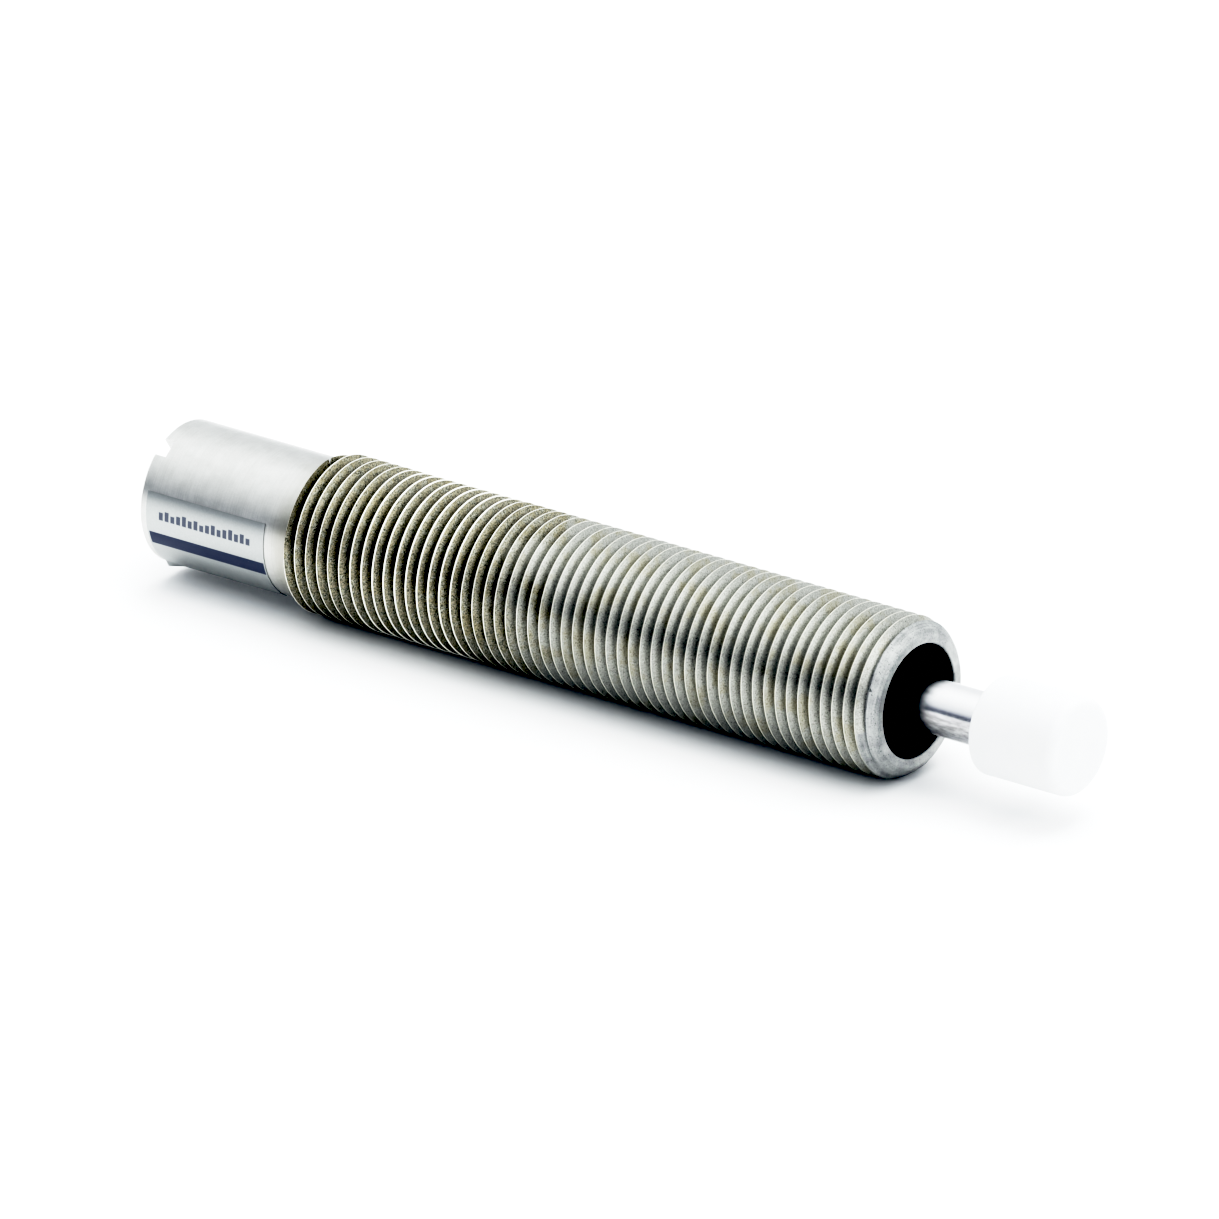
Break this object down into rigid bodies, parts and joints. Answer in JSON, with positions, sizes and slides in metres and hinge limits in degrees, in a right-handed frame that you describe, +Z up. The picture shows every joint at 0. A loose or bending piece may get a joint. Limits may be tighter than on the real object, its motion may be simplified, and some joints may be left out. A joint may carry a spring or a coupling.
{
  "type": "threaded shock absorber",
  "caption": "Miniature hydraulic shock absorber: threaded steel body with front stop and rear slot, spring-returned chromed rod with a white plastic cap.",
  "frame": {"origin": "on the rod's axis, in the plane of the body's front stop face", "axes": "+X along the rod, out of the body towards the cap; +Z up as the part lies in the reference view; +Y away from the viewer"},
  "size_m": [0.0802, 0.0118, 0.012],
  "materials": {
    "turned_steel": "turned and threaded steel, worn and lightly stained in the thread roots",
    "label_foil": null,
    "white_plastic": "matt, slightly translucent white engineering plastic",
    "hard_chrome": "ground and hard chromed",
    "spring_steel": "spring steel, oiled",
    "washer_steel": "stamped steel, tumbled",
    "guide_steel": "turned steel",
    "tube_steel": "honed steel tube",
    "bronze": "turned bearing bronze",
    "black_rubber": "moulded nitrile rubber",
    "green_rubber": "moulded polyurethane seal",
    "foam": "closed-cell foam rubber",
    "dark_steel": "blackened steel"
  },
  "bodies": {
    "housing": {"body_shell": "turned_steel", "label": "label_foil", "snap_ring": "spring_steel", "cover_washer": "washer_steel", "wiper": "black_rubber", "rod_guide": "guide_steel", "guide_liner": "bronze", "guide_o_ring": "black_rubber", "rod_seal": "green_rubber", "seal_support": "washer_steel", "accumulator_foam": "foam", "tube_head": "guide_steel", "pressure_tube": "tube_steel", "return_spring": "spring_steel", "base_plug": "guide_steel", "filler_ball": "hard_chrome", "filler_screw": "dark_steel"},
    "spring_carrier": {"spring_washer": "washer_steel"},
    "rod": {"piston_rod": "hard_chrome", "bumper_cap": "white_plastic", "piston": "bronze", "piston_nut": "dark_steel"},
    "check_ring": {"check_ring": "washer_steel"}
  },
  "joints": [
    {"name": "rod_stroke", "type": "slide", "parent": "housing", "child": "spring_carrier", "axis": [1, 0, 0], "range_m": [-0.0142, 0], "stiffness_N_per_m": 580, "springref_m": 0.005, "deforming": ["return_spring"]},
    {"name": "rod_spin", "type": "hinge", "parent": "spring_carrier", "child": "rod", "pos_m": [0, 0, 0], "axis": [1, 0, 0], "continuous": true},
    {"name": "check_ring_lift", "type": "slide", "parent": "rod", "child": "check_ring", "axis": [1, 0, 0], "range_m": [-0.00035, 0]}
  ]
}
